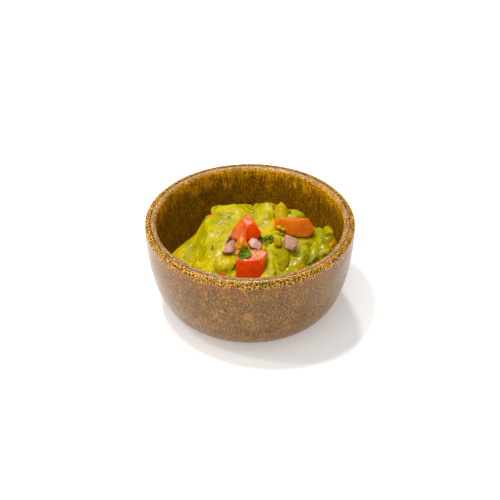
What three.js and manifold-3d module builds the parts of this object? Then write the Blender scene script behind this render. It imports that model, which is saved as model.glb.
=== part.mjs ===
// A small stoneware bowl of chunky guacamole, topped with diced tomato, red onion and avocado.
// Millimetres, +Z up, +Y to the back. The origin is at the centre of the bowl's underside.

import * as THREE from "three";
import { mergeVertices } from "three/addons/utils/BufferGeometryUtils.js";
import Module from "manifold-3d";

const wasm = await Module();
wasm.setup();

// ---- Driving dimensions -------------------------------------------------------------------

// Bowl
const RIM_RADIUS = 55;
const BOWL_HEIGHT = 52;
const WALL = 6;
const LIP_EDGE = 1.8; // radius of the lip's two rounded edges
const FOOT_RADIUS = 29;
const FOOT_HEIGHT = 1.6;
const FOOT_WIDTH = 5;
const FOOT_RECESS = 1.2;
const FLOOR_Z = 7.5;
const FLOOR_RADIUS = 24;
const BELLY_RISE_POWER = 1.8; // how softly the wall leaves the floor
const BELLY_OUT_POWER = 3.9; // how early the wall turns upright
const TURNS = 60; // facets round the bowl

// Guacamole heap: highest just behind the middle, sloping gently to the front and steeply to the back
const CREST_Y = 15;
const CREST_Z = 50.3;
const CREST_BOW = 0.011; // how the crest bends to the front towards the sides, 1/mm
const CREST_FALL = 0.0055; // how it drops towards the sides, 1/mm
const FRONT_DROP = 9;
const FRONT_POWER = 1.8;
const REAR_SLOPE = 1.05;
const REAR_ROUND = 5;
const LEFT_SAG = 8.5; // the left side has slumped
const LEFT_SAG_FROM = 21;
const LEFT_SAG_OVER = 10;
const HEAP_RINGS = 19;

// Gaps
const GAP = 0.3; // between the food and the bowl
const POCKET_GAP = 0.4; // round a topping that is pressed into the heap

// Lumps of avocado under the surface of the heap: across, back, radius, height
const LUMPS = [
  [-11, 15, 6, 0.8],
  [13, 14, 9, 2.4],
  [24, 9, 6, 3],
  [-22, 6, 5, 0.6],
  [-16, -3, 5, 1.2],
  [-16.5, -16, 4.5, 1.2],
  [-24, -25, 6, 1.5],
  [-37, -12, 6, 0.6],
  [-12.5, -30, 6.5, 3],
  [9, -34, 7, 2.5],
  [24.5, -24, 5, 3],
  [20, -36, 4.5, 2],
  [28, -10, 5, 1.8],
  [33, 1, 4, 1],
  [41.5, -4, 5, 7.5],
  [36, -13, 6, 3],
  [30, -27, 4, 2],
];
const REAR_LUMPS = 9; // more of them, spread over the steep back of the heap
const REAR_LUMP_RADIUS = 6;
const REAR_LUMP_HEIGHT = 2.4;

// Toppings. Outlines are seen square on to the piece's upper face, corners in order, anticlockwise.
// turn is the piece's rotation in degrees about X, Y and Z, and at is the centre of its upper face.
// A tomato keeps a stretch of its round skin: skin is the centre of that round, from the piece's own.
const TOMATO_RADIUS = 24;
const TOPPINGS = [
  {
    name: "tomato_left",
    colour: 0xd84a12,
    thickness: 9,
    skin: [0, 0, -TOMATO_RADIUS],
    at: [-2.6, -11.5, 55],
    turn: [35, 0, 0],
    outline: [[-7.8, -3.2], [-5.5, -5.5], [-1.5, -6.6], [6.6, -6.4], [8.3, -2], [3.2, 7.6], [-0.6, 7], [-4.8, 2.5]],
  },
  {
    name: "tomato_front",
    colour: 0xdd4d14,
    thickness: 11,
    skin: [-1, 6, -20],
    at: [0, -26.7, 51],
    turn: [10, 0, 0],
    outline: [[-7, -16.5], [1.5, -17], [4.6, -14], [6.6, -10], [9, -0.4], [4, 1.2], [-6.9, 1.2]],
  },
  {
    name: "tomato_sliver",
    colour: 0xe2694a,
    thickness: 4,
    skin: [3, 0, -TOMATO_RADIUS],
    at: [-4.6, -23.4, 53.4],
    turn: [35, 0, 0],
    outline: [[-2.2, -2.6], [3, -2.6], [3.9, -0.8], [1, 4.9], [-2, 2.6]],
  },
  {
    name: "tomato_right",
    colour: 0xdc5f1c,
    thickness: 8,
    skin: [0, 0, -TOMATO_RADIUS],
    at: [23.3, -6.6, 51],
    turn: [58, 0, 0],
    outline: [[-10.5, -0.6], [-5, -3.2], [1.3, -4.8], [7, -4.8], [10.7, -1.7], [7.2, 4.6], [-2.5, 5.2], [-10.5, 4.2]],
  },
  {
    name: "onion_left",
    colour: 0xd9a99a,
    thickness: 4.5,
    at: [-11.2, -22.2, 51.2],
    turn: [35, 0, 0],
    outline: [[-3.2, -3.2], [0.4, -4.2], [3.2, -3], [3.4, 3], [0.5, 5.3]],
  },
  {
    name: "onion_middle",
    colour: 0xd4a08f,
    thickness: 4.5,
    at: [2.2, -22.2, 52.2],
    turn: [35, 0, 0],
    outline: [[-1.7, -1.8], [2.8, -3.3], [4.1, -0.3], [1.5, 2.5], [-1.2, 3.6], [-3.4, 1.4]],
  },
  {
    name: "onion_right",
    colour: 0xcfae9f,
    thickness: 5.5,
    at: [20.9, -19.8, 51],
    turn: [45, 0, 0],
    outline: [[-3.2, -2.5], [0.8, -4], [3.1, -0.9], [2.8, 2.4], [-2.9, 4.7], [-3.5, 1.7]],
  },
  {
    name: "avocado_back",
    colour: 0xc9a410,
    thickness: 8,
    at: [16.9, 8.2, 51],
    turn: [42, 0, 0],
    outline: [[-4.2, -5], [4.4, -5.2], [4.8, -2], [2.8, 2.4], [-0.6, 6], [-4, 1.8]],
  },
  {
    name: "avocado_front",
    colour: 0xa59a10,
    thickness: 6,
    at: [16.4, -27.2, 46.6],
    turn: [38, 0, 0],
    outline: [[-1.8, -5.8], [0.4, -7.2], [3.4, -3], [3.8, 2.4], [3, 5.2], [-1, 5], [-2.8, 1.3]],
  },
  {
    name: "avocado_dice",
    colour: 0xb5ab18,
    thickness: 4.2,
    at: [14.2, -16.6, 50],
    turn: [35, 0, 0],
    outline: [[-1.7, -2.6], [2, -2.7], [1.9, 2.4], [-1.8, 2.2]],
  },
];

const BOWL_COLOUR = 0x8c6a44;
const GUACAMOLE_COLOUR = 0xcdbb10;

// ---- Solids from three.js geometry --------------------------------------------------------

function solidOf(geometry) {
  const bare = geometry.clone();
  bare.deleteAttribute("normal");
  bare.deleteAttribute("uv");
  const merged = mergeVertices(bare, 1e-4);
  return new wasm.Manifold(
    new wasm.Mesh({
      numProp: 3,
      vertProperties: merged.attributes.position.array,
      triVerts: new Uint32Array(merged.index.array),
    }),
  );
}

function geometryOf(solid) {
  const mesh = solid.getMesh();
  const geometry = new THREE.BufferGeometry();
  geometry.setAttribute("position", new THREE.BufferAttribute(new Float32Array(mesh.vertProperties), 3));
  geometry.setIndex(new THREE.BufferAttribute(new Uint32Array(mesh.triVerts), 1));
  geometry.computeVertexNormals();
  return geometry;
}

// A solid of revolution about Z from a profile of (radius, height), run anticlockwise from the axis
function turned(profile) {
  return new THREE.LatheGeometry(profile, TURNS).rotateX(Math.PI / 2);
}

// ---- Bowl ---------------------------------------------------------------------------------

// The wall's curve from (startRadius, startZ), lying flat, up to (endRadius, endZ), standing upright
function bellyCurve(startRadius, startZ, endRadius, endZ, steps) {
  const points = [];
  for (let i = 0; i <= steps; i++) {
    const angle = (i / steps) * (Math.PI / 2);
    const out = Math.sin(angle) ** (2 / BELLY_OUT_POWER);
    const up = 1 - Math.cos(angle) ** (2 / BELLY_RISE_POWER);
    points.push(new THREE.Vector2(
      startRadius + (endRadius - startRadius) * out,
      startZ + (endZ - startZ) * up,
    ));
  }
  return points;
}

// A quarter circle round (radius, z), from one angle to the next in degrees
function roundedEdge(radius, z, from, to, steps = 3) {
  const points = [];
  for (let i = 0; i <= steps; i++) {
    const angle = THREE.MathUtils.degToRad(from + ((to - from) * i) / steps);
    points.push(new THREE.Vector2(radius + LIP_EDGE * Math.cos(angle), z + LIP_EDGE * Math.sin(angle)));
  }
  return points;
}

const WALL_STEPS = 10;
const LIP_Z = BOWL_HEIGHT - LIP_EDGE;
const INNER_RADIUS = RIM_RADIUS - WALL;

function bowlGeometry() {
  const outside = bellyCurve(FOOT_RADIUS, FOOT_HEIGHT, RIM_RADIUS, LIP_Z, WALL_STEPS);
  const inside = bellyCurve(FLOOR_RADIUS, FLOOR_Z, INNER_RADIUS, LIP_Z, WALL_STEPS).reverse();
  return turned([
    new THREE.Vector2(0, FOOT_RECESS),
    new THREE.Vector2(FOOT_RADIUS - FOOT_WIDTH, FOOT_RECESS),
    new THREE.Vector2(FOOT_RADIUS - FOOT_WIDTH, 0),
    new THREE.Vector2(FOOT_RADIUS, 0),
    ...outside.slice(0, -1),
    ...roundedEdge(RIM_RADIUS - LIP_EDGE, LIP_Z, 0, 90),
    ...roundedEdge(INNER_RADIUS + LIP_EDGE, LIP_Z, 90, 180),
    ...inside.slice(1),
    new THREE.Vector2(0, FLOOR_Z),
  ]);
}

// The bowl's inside, a gap clear of its floor and wall, as far up as any food reaches
function insideGeometry() {
  const wall = bellyCurve(FLOOR_RADIUS, FLOOR_Z + GAP, INNER_RADIUS - GAP, LIP_Z, WALL_STEPS);
  return turned([
    new THREE.Vector2(0, FLOOR_Z + GAP),
    ...wall,
    new THREE.Vector2(INNER_RADIUS - GAP, 2 * BOWL_HEIGHT),
    new THREE.Vector2(0, 2 * BOWL_HEIGHT),
  ]);
}

// ---- Guacamole ----------------------------------------------------------------------------

function rearLumps() {
  const goldenAngle = Math.PI * (3 - Math.sqrt(5));
  const lumps = [];
  for (let i = 0; lumps.length < REAR_LUMPS; i++) {
    const reach = 14 + 30 * Math.sqrt((i % 24) / 24);
    const x = reach * Math.cos(i * goldenAngle);
    const y = reach * Math.sin(i * goldenAngle);
    if (y > CREST_Y + 5) lumps.push([x, y, REAR_LUMP_RADIUS, REAR_LUMP_HEIGHT]);
  }
  return lumps;
}

const ALL_LUMPS = [...LUMPS, ...rearLumps()];

function heapHeight(x, y) {
  const crestY = CREST_Y - CREST_BOW * x * x;
  const sag = LEFT_SAG * THREE.MathUtils.smoothstep(-x, LEFT_SAG_FROM, LEFT_SAG_FROM + LEFT_SAG_OVER);
  let z = CREST_Z - CREST_FALL * x * x - sag;
  if (y < crestY) {
    const wallY = Math.sqrt(Math.max(INNER_RADIUS ** 2 - x * x, 1));
    z -= FRONT_DROP * ((crestY - y) / (wallY + crestY)) ** FRONT_POWER;
  } else {
    z -= REAR_SLOPE * (Math.hypot(y - crestY, REAR_ROUND) - REAR_ROUND);
  }
  for (const [lumpX, lumpY, radius, height] of ALL_LUMPS) {
    z += height * Math.exp(-(((x - lumpX) ** 2 + (y - lumpY) ** 2) / radius ** 2));
  }
  return z;
}

// A round block whose top is the heap's surface, a little wider than the bowl's inside
function heapGeometry() {
  const radius = INNER_RADIUS + 1;
  const topZ = BOWL_HEIGHT;
  const profile = [new THREE.Vector2(0, 0), new THREE.Vector2(radius, 0)];
  for (let i = 0; i <= HEAP_RINGS; i++) profile.push(new THREE.Vector2(radius * (1 - i / HEAP_RINGS), topZ));
  const geometry = turned(profile);
  const position = geometry.attributes.position;
  for (let i = 0; i < position.count; i++) {
    if (position.getZ(i) > topZ / 2) position.setZ(i, heapHeight(position.getX(i), position.getY(i)));
  }
  return geometry;
}

// ---- Toppings -----------------------------------------------------------------------------

// A cut piece: its outline extruded down from its upper face, and rounded where it has its skin.
// grow makes it that much bigger all round, for the pocket that it sits in.
function pieceGeometry({ outline, thickness, skin }, grow = 0) {
  const shape = new THREE.Shape(outline.map(([x, y]) => new THREE.Vector2(x, y)));
  const prism = new THREE.ExtrudeGeometry(shape, { depth: thickness, bevelEnabled: false });
  prism.translate(0, 0, -thickness);
  let solid = solidOf(prism);
  if (skin) {
    const tomato = new THREE.SphereGeometry(TOMATO_RADIUS, 48, 32).translate(...skin);
    solid = solid.intersect(solidOf(tomato));
  }
  const geometry = geometryOf(solid);
  if (grow > 0) {
    geometry.computeBoundingBox();
    const size = geometry.boundingBox.getSize(new THREE.Vector3());
    const centre = geometry.boundingBox.getCenter(new THREE.Vector3());
    geometry.translate(-centre.x, -centre.y, -centre.z);
    geometry.scale(1 + (2 * grow) / size.x, 1 + (2 * grow) / size.y, 1 + (2 * grow) / size.z);
    geometry.translate(centre.x, centre.y, centre.z);
  }
  return geometry;
}

function place(object, { at, turn }) {
  object.position.set(...at);
  object.rotation.set(...turn.map(THREE.MathUtils.degToRad));
  object.updateMatrix();
  return object;
}

// ---- Assembly -----------------------------------------------------------------------------

function ceramic(colour) {
  return new THREE.MeshStandardMaterial({ color: colour, roughness: 0.35, metalness: 0 });
}

function moistFood(colour) {
  return new THREE.MeshStandardMaterial({ color: colour, roughness: 0.3, metalness: 0 });
}

function named(name, geometry, material) {
  const mesh = new THREE.Mesh(geometry, material);
  mesh.name = name;
  return mesh;
}

function guacamoleGeometry() {
  let solid = solidOf(heapGeometry()).intersect(solidOf(insideGeometry()));
  for (const topping of TOPPINGS) {
    const pocket = pieceGeometry(topping, POCKET_GAP).applyMatrix4(place(new THREE.Object3D(), topping).matrix);
    solid = solid.subtract(solidOf(pocket));
  }
  const largest = solid.decompose().sort((a, b) => b.volume() - a.volume())[0];
  return geometryOf(largest);
}

const guacamoleBowl = new THREE.Group();
guacamoleBowl.add(named("bowl", bowlGeometry(), ceramic(BOWL_COLOUR)));
guacamoleBowl.add(named("guacamole", guacamoleGeometry(), moistFood(GUACAMOLE_COLOUR)));
for (const topping of TOPPINGS) {
  guacamoleBowl.add(place(named(topping.name, pieceGeometry(topping), moistFood(topping.colour)), topping));
}

export default guacamoleBowl;
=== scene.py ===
"""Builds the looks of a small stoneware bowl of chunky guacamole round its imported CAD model.

Lengths are in millimetres in the values and tables below, and in metres in the panel's settings, the
stage and the meshes.
+Z is up, +Y is to the back of the bowl, and the origin is under its middle.
"""

import math
import random

import bmesh
import bpy
from bpy.props import FloatProperty, FloatVectorProperty, PointerProperty
from mathutils import Euler, Matrix, Vector, noise
from mathutils.bvhtree import BVHTree


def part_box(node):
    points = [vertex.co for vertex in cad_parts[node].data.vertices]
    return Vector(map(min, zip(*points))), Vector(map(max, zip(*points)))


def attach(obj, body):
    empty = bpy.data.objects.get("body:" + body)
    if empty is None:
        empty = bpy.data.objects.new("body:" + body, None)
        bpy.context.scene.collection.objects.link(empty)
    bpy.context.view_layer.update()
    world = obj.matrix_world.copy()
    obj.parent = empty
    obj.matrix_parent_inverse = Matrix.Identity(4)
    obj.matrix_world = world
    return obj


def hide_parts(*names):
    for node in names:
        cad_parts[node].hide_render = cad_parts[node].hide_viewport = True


bl_info = {
    "name": "Guacamole bowl",
    "version": (1, 0, 0),
    "blender": (4, 5, 0),
    "location": "View3D > Sidebar > Guacamole",
    "description": "A glazed stoneware bowl of guacamole with tomato, red onion, avocado and cilantro",
    "category": "Object",
}

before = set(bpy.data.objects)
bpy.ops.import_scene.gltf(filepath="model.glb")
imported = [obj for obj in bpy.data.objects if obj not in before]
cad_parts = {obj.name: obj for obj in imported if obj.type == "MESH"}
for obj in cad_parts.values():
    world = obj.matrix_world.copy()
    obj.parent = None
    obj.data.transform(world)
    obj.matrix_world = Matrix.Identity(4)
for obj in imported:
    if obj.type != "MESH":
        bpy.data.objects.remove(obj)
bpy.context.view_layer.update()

MM = 0.001
BODY = "root"

# ---- Sizes taken from the frame -----------------------------------------------------------

BOWL_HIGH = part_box("bowl")[1]
RIM_RADIUS = BOWL_HIGH.x / MM
BOWL_HEIGHT = BOWL_HIGH.z / MM

# ---- The bowl's and the heap's shape, as in the CAD model, in millimetres --------------------

WALL = 6
INNER_RADIUS = RIM_RADIUS - WALL
LIP_EDGE = 1.8
LIP_Z = BOWL_HEIGHT - LIP_EDGE
FOOT_RADIUS = 29
FOOT_HEIGHT = 1.6
FOOT_WIDTH = 5
FOOT_RECESS = 1.2
FLOOR_Z = 7.5
FLOOR_RADIUS = 24
BELLY_RISE_POWER = 1.8
BELLY_OUT_POWER = 3.9

CREST_Y = 15
CREST_Z = 50.3
CREST_BOW = 0.011
CREST_FALL = 0.0055
FRONT_DROP = 9
FRONT_POWER = 1.8
REAR_SLOPE = 1.05
REAR_ROUND = 5
LEFT_SAG = 8.5
LEFT_SAG_FROM = 21
LEFT_SAG_OVER = 10

# Swellings of the heap: across, back, radius, and height, which is below zero for a dip
SWELLINGS = [
    (-10, 15, 5, 1.4),
    (13, 14, 9, 2.4),
    (24, 9, 6, 3),
    (-22, 6, 5, 0.6),
    (-19, 15, 5, -2),
    (-37, -12, 6, 0.6),
    (-12.5, -30, 6.5, 2),
    (33, 1, 4, 1),
    (41.5, -4, 5, 6),
    (36, -13, 6, 2),
]

# Lumps in the mash: across, back, lift above the heap, half sizes across, back and up,
# turn about Z in degrees, tip about X in degrees, and how square they are from 0 to 1
LUMPS = [
    (-12.6, -30.5, 0.6, 5.6, 6.2, 3.6, 8, 20, 0.35),
    (-16.5, -16.5, 0.2, 3.6, 3.2, 2.2, 20, 20, 0.1),
    (-12.5, 9.5, 0.4, 4.2, 3.4, 2.2, -25, 0, 0.2),
    (-17.5, -1.5, 0.4, 2.4, 2.6, 1.8, 0, 0, 0.1),
    (-14.2, -4.6, 0.3, 2.2, 2.0, 1.5, 30, 0, 0),
    (-20.5, -5.5, 0.2, 2.6, 2.2, 1.4, 0, 0, 0),
    (-24.5, -25.5, 0.2, 5.0, 3.6, 2.2, -20, 10, 0.1),
    (-19.5, -23.5, 0.3, 2.4, 2.2, 1.5, 0, 0, 0),
    (-21, -32.5, 0.2, 4.4, 3.4, 2.0, -30, 15, 0.1),
    (-12.5, 14, -0.5, 6.5, 3.2, 2.2, 8, 0, 0.1),
    (9.0, 12.5, -1.0, 6.2, 3.4, 2.0, -6, 0, 0.1),
    (9.5, 5, 0.2, 7.4, 2.2, 1.6, 42, 0, 0),
    (5.5, 3.4, 0.2, 6.2, 1.8, 1.4, 38, 0, 0),
    (11.6, -1.5, 0.2, 5.0, 1.9, 1.4, 52, 0, 0),
    (8.8, -7.5, 0.2, 3.4, 3.0, 1.8, 20, 0, 0.2),
    (24.6, 8.2, -0.2, 5.2, 2.8, 2.6, -28, -20, 0.1),
    (8.6, -33.5, 0.8, 6.0, 5.4, 3.2, -10, 18, 0.1),
    (9.8, -25.4, 0.3, 3.4, 3.2, 2.0, 0, 0, 0.1),
    (24.2, -25.2, 1.0, 4.4, 5.6, 3.4, 18, 22, 0.15),
    (19.2, -35.2, 0.2, 4.6, 2.8, 2.2, 22, 10, 0.1),
    (27.4, -10.8, 1.4, 4.2, 2.8, 2.0, 6, 10, 0.2),
    (27.6, -17, 0.2, 3.8, 3.4, 2.4, 20, 15, 0.2),
    (35.4, 0.4, 0.9, 2.3, 2.2, 2.0, 0, 0, 0.1),
    (40.6, -3, 0.3, 3.4, 3.6, 2.8, 20, 0, 0.15),
    (34.2, -7.2, 0.3, 2.6, 4.6, 2.0, 30, 0, 0.1),
    (38.4, -13.2, 0.4, 3.6, 4.6, 2.6, -10, 0, 0.1),
    (32.6, -18.2, 0.5, 2.2, 4.8, 2.6, -16, 0, 0.1),
    (30.6, -27.2, 0.5, 3.0, 3.2, 2.4, 25, 15, 0.45),
    (34.6, -23, 0.2, 2.6, 3.2, 2.0, 0, 0, 0.1),
    (17.6, -9.4, 0.2, 3.0, 2.4, 1.5, 0, 0, 0.1),
]

# Lumps scattered down the back, from that far behind the crest, and small ones at the front right
REAR_LUMP_COUNT = 30
REAR_FROM_CREST = 11
REAR_LEFT_END = -19
REAR_LOWEST_Z = 26
FINE_LUMP_COUNT = 10


def crest_at(x):
    """How far back the heap's crest lies at that place across."""
    return CREST_Y - CREST_BOW * x * x


def heap_height(x, y):
    """Height of the heap of mash at that place, before its lumps."""
    crest_y = crest_at(x)
    sag = min(max((-x - LEFT_SAG_FROM) / LEFT_SAG_OVER, 0), 1)
    z = CREST_Z - CREST_FALL * x * x - LEFT_SAG * sag * sag * (3 - 2 * sag)
    if y < crest_y:
        wall_y = math.sqrt(max(INNER_RADIUS**2 - x * x, 1))
        z -= FRONT_DROP * ((crest_y - y) / (wall_y + crest_y)) ** FRONT_POWER
    else:
        z -= REAR_SLOPE * (math.hypot(y - crest_y, REAR_ROUND) - REAR_ROUND)
    for swell_x, swell_y, radius, height in SWELLINGS:
        z += height * math.exp(-((x - swell_x) ** 2 + (y - swell_y) ** 2) / radius**2)
    return z


def inside_radius(z):
    """Radius of the bowl's inner wall at that height."""
    rise = min(max((z - FLOOR_Z) / (LIP_Z - FLOOR_Z), 0), 1)
    out = (1 - (1 - rise) ** BELLY_RISE_POWER) ** (1 / BELLY_OUT_POWER)
    return FLOOR_RADIUS + (INNER_RADIUS - FLOOR_RADIUS) * out


# ---- Colour, nodes and meshes ---------------------------------------------------------------


def linear(code):
    """An sRGB hex value such as 0xCDBB10 as a linear colour."""
    channels = [((code >> shift) & 255) / 255 for shift in (16, 8, 0)]
    return tuple(c / 12.92 if c <= 0.04045 else ((c + 0.055) / 1.055) ** 2.4 for c in channels)


def shade(colour, factor):
    """A linear colour made darker or lighter."""
    return tuple(min(c * factor, 1) for c in colour[:3])


def tint(name, description, code):
    """A colour setting with its default as an sRGB hex value."""
    return FloatVectorProperty(
        name=name, description=description, default=linear(code), subtype="COLOR", min=0, max=1
    )


def add(tree, kind, sockets=None, stops=None, **settings):
    """A new node: its own settings, its inputs as values or as links, and a ramp's stops."""
    node = tree.nodes.new(kind)
    for name, value in settings.items():
        setattr(node, name, value)
    for key, value in (sockets or {}).items():
        if isinstance(value, bpy.types.NodeSocket):
            tree.links.new(value, node.inputs[key])
        else:
            node.inputs[key].default_value = value
    if stops:
        elements = node.color_ramp.elements
        while len(elements) < len(stops):
            elements.new(1.0)
        for element, (place, colour) in zip(elements, stops):
            element.position = place
            element.color = (*colour[:3], 1.0)
    return node


def new_material(name, finish):
    """A node material with its shader's finish, and its Object coordinates in millimetres."""
    material = bpy.data.materials.new(name)
    material.use_nodes = True
    tree = material.node_tree
    tree.nodes.clear()
    output = add(tree, "ShaderNodeOutputMaterial")
    shader = add(tree, "ShaderNodeBsdfPrincipled", finish)
    tree.links.new(shader.outputs["BSDF"], output.inputs["Surface"])
    place = add(tree, "ShaderNodeTexCoord")
    scaled = add(
        tree,
        "ShaderNodeVectorMath",
        {0: place.outputs["Object"], 1: (1 / MM, 1 / MM, 1 / MM)},
        operation="MULTIPLY",
    )
    return material, tree, shader, scaled.outputs[0]


def solid_from(bm, name, material):
    """A finished object from a bmesh in metres, riding on the part's one body."""
    mesh = bpy.data.meshes.new(name)
    bm.to_mesh(mesh)
    bm.free()
    mesh.polygons.foreach_set("use_smooth", [True] * len(mesh.polygons))
    mesh.materials.append(material)
    piece = bpy.data.objects.new(name, mesh)
    bpy.context.scene.collection.objects.link(piece)
    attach(piece, BODY)
    return piece


def welded(bm, voxel):
    """The bmesh's overlapping closed shapes as one skin, with faces of about voxel metres."""
    bmesh.ops.recalc_face_normals(bm, faces=bm.faces[:])
    mesh = bpy.data.meshes.new("weld")
    bm.to_mesh(mesh)
    bm.free()
    holder = bpy.data.objects.new("weld", mesh)
    bpy.context.scene.collection.objects.link(holder)
    remesh = holder.modifiers.new("weld", "REMESH")
    remesh.mode = "VOXEL"
    remesh.voxel_size = voxel
    remesh.adaptivity = 0
    evaluated = holder.evaluated_get(bpy.context.evaluated_depsgraph_get())
    skin = bmesh.new()
    skin.from_mesh(evaluated.to_mesh())
    evaluated.to_mesh_clear()
    bpy.data.objects.remove(holder)
    bpy.data.meshes.remove(mesh)
    return skin


def smoothed(bm, passes, verts=None):
    """Relaxes those vertices, or all of them, towards their neighbours."""
    for _ in range(passes):
        bmesh.ops.smooth_vert(
            bm, verts=verts or bm.verts[:], factor=0.5, use_axis_x=True, use_axis_y=True, use_axis_z=True
        )


def roughened(bm, *layers):
    """Moves the surface in and out by noise, each layer a grain size and a height in millimetres."""
    bm.normal_update()
    moves = []
    for vert in bm.verts:
        place = vert.co / MM
        push = sum(height * noise.noise(place / grain) for grain, height in layers)
        moves.append(vert.normal * push * MM)
    for vert, move in zip(bm.verts, moves):
        vert.co += move


def ground(meshes):
    """A tree of those meshes' faces, for finding where a thing lies on them."""
    bm = bmesh.new()
    for mesh in meshes:
        bm.from_mesh(mesh)
    tree = BVHTree.FromBMesh(bm)
    bm.free()
    return tree


def landing(tree, x, y):
    """The surface's place in millimetres and its slope under a point, or nothing where there is none."""
    place, normal, _, _ = tree.ray_cast(Vector((x, y, 80)) * MM, Vector((0, 0, -1)))
    return (place / MM, normal) if place else None


# ---- Bowl -----------------------------------------------------------------------------------

BOWL_TURNS = 240
BELLY_STEPS = 30
EDGE_STEPS = 7
FOOT_BEVEL = 0.4
WOBBLE_WIDTH = 30
WOBBLE_HEIGHT = 40


def belly_curve(start_radius, start_z, end_radius, end_z):
    """The wall's curve, lying flat where it starts and standing upright where it ends."""
    points = []
    for i in range(BELLY_STEPS + 1):
        angle = i / BELLY_STEPS * math.pi / 2
        out = math.sin(angle) ** (2 / BELLY_OUT_POWER)
        up = 1 - max(math.cos(angle), 0) ** (2 / BELLY_RISE_POWER)
        radius = start_radius + (end_radius - start_radius) * out
        points.append((radius, start_z + (end_z - start_z) * up))
    return points


def rounded_edge(radius, z, start, end):
    """A quarter circle of the lip's rounding, from one angle to the next in degrees."""
    angles = [math.radians(start + (end - start) * i / EDGE_STEPS) for i in range(EDGE_STEPS + 1)]
    return [(radius + LIP_EDGE * math.cos(a), z + LIP_EDGE * math.sin(a)) for a in angles]


def bowl_profile():
    """The bowl's section from the middle of its underside, over the lip and back in to the middle."""
    inner_foot = FOOT_RADIUS - FOOT_WIDTH
    foot = [
        (0, FOOT_RECESS),
        (inner_foot, FOOT_RECESS),
        (inner_foot, FOOT_BEVEL),
        (inner_foot + FOOT_BEVEL, 0),
        (FOOT_RADIUS - FOOT_BEVEL, 0),
        (FOOT_RADIUS, FOOT_BEVEL),
    ]
    outside = belly_curve(FOOT_RADIUS, FOOT_HEIGHT, RIM_RADIUS, LIP_Z)[:-1]
    lip = rounded_edge(RIM_RADIUS - LIP_EDGE, LIP_Z, 0, 90)
    lip += rounded_edge(INNER_RADIUS + LIP_EDGE, LIP_Z, 90, 180)
    inside = belly_curve(FLOOR_RADIUS, FLOOR_Z, INNER_RADIUS, LIP_Z)[::-1][1:]
    return foot + outside + lip + inside + [(0, FLOOR_Z)]


def run_along(profile):
    """How far each point lies from the lip's middle along the section, inside as a minus."""
    runs = [0.0]
    for (r0, z0), (r1, z1) in zip(profile, profile[1:]):
        runs.append(runs[-1] + math.hypot(r1 - r0, z1 - z0))
    top = [run for run, (_, z) in zip(runs, profile) if z > BOWL_HEIGHT - 0.01]
    middle = sum(top) / len(top)
    return [middle - run for run in runs]


def bowl_mesh(settings):
    """The section spun round Z, with a thrown bowl's slight unevenness."""
    bm = bmesh.new()
    run_layer = bm.verts.layers.float.new("run")
    profile = bowl_profile()
    verts = []
    for (radius, z), run in zip(profile, run_along(profile)):
        vert = bm.verts.new((radius * MM, 0, z * MM))
        vert[run_layer] = run
        verts.append(vert)
    for a, b in zip(verts, verts[1:]):
        bm.edges.new((a, b))
    bmesh.ops.spin(
        bm,
        geom=bm.verts[:] + bm.edges[:],
        axis=(0, 0, 1),
        cent=(0, 0, 0),
        angle=2 * math.pi,
        steps=BOWL_TURNS,
        use_merge=True,
    )
    bmesh.ops.remove_doubles(bm, verts=bm.verts[:], dist=1e-6)
    bmesh.ops.recalc_face_normals(bm, faces=bm.faces[:])
    for vert in bm.verts:
        x, y, z = vert.co / MM
        rise = min(max(z / BOWL_HEIGHT, 0), 1)
        place = Vector((x / WOBBLE_WIDTH, y / WOBBLE_WIDTH, z / WOBBLE_HEIGHT))
        wobble = settings.unevenness / MM * rise * noise.noise(place)
        radius = math.hypot(x, y)
        if radius > 1:
            vert.co.x += wobble * x / radius * MM
            vert.co.y += wobble * y / radius * MM
    return bm


# The glaze's patterns: a grain's width and its length down the bowl in millimetres, how much finer detail
# it has, and an offset that keeps the patterns apart
GLAZE_GRAINS = {
    "mottle": (8.0, 11.0, 4.0, 5.0),
    "streaks": (1.6, 8.0, 3.0, 0.0),
    "runs": (0.7, 2.4, 2.0, 31.0),
    "specks": (0.6, 0.85, 1.5, 11.0),
    "grit": (0.6, 0.95, 3.0, 77.0),
    "breaks": (5.0, 5.0, 1.0, 143.0),
}

# The dark line on the lip: its distance from the lip's middle and half its width
LINE_FROM_LIP = 0.1
LINE_HALF_WIDTH = 0.3

SPOT_PLACE = (-1.0, -53.5, 30.0)
SPOT_RADIUS = 2.2
SPOT_EDGE = 0.7
SPOT_STRENGTH = 0.7


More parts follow.
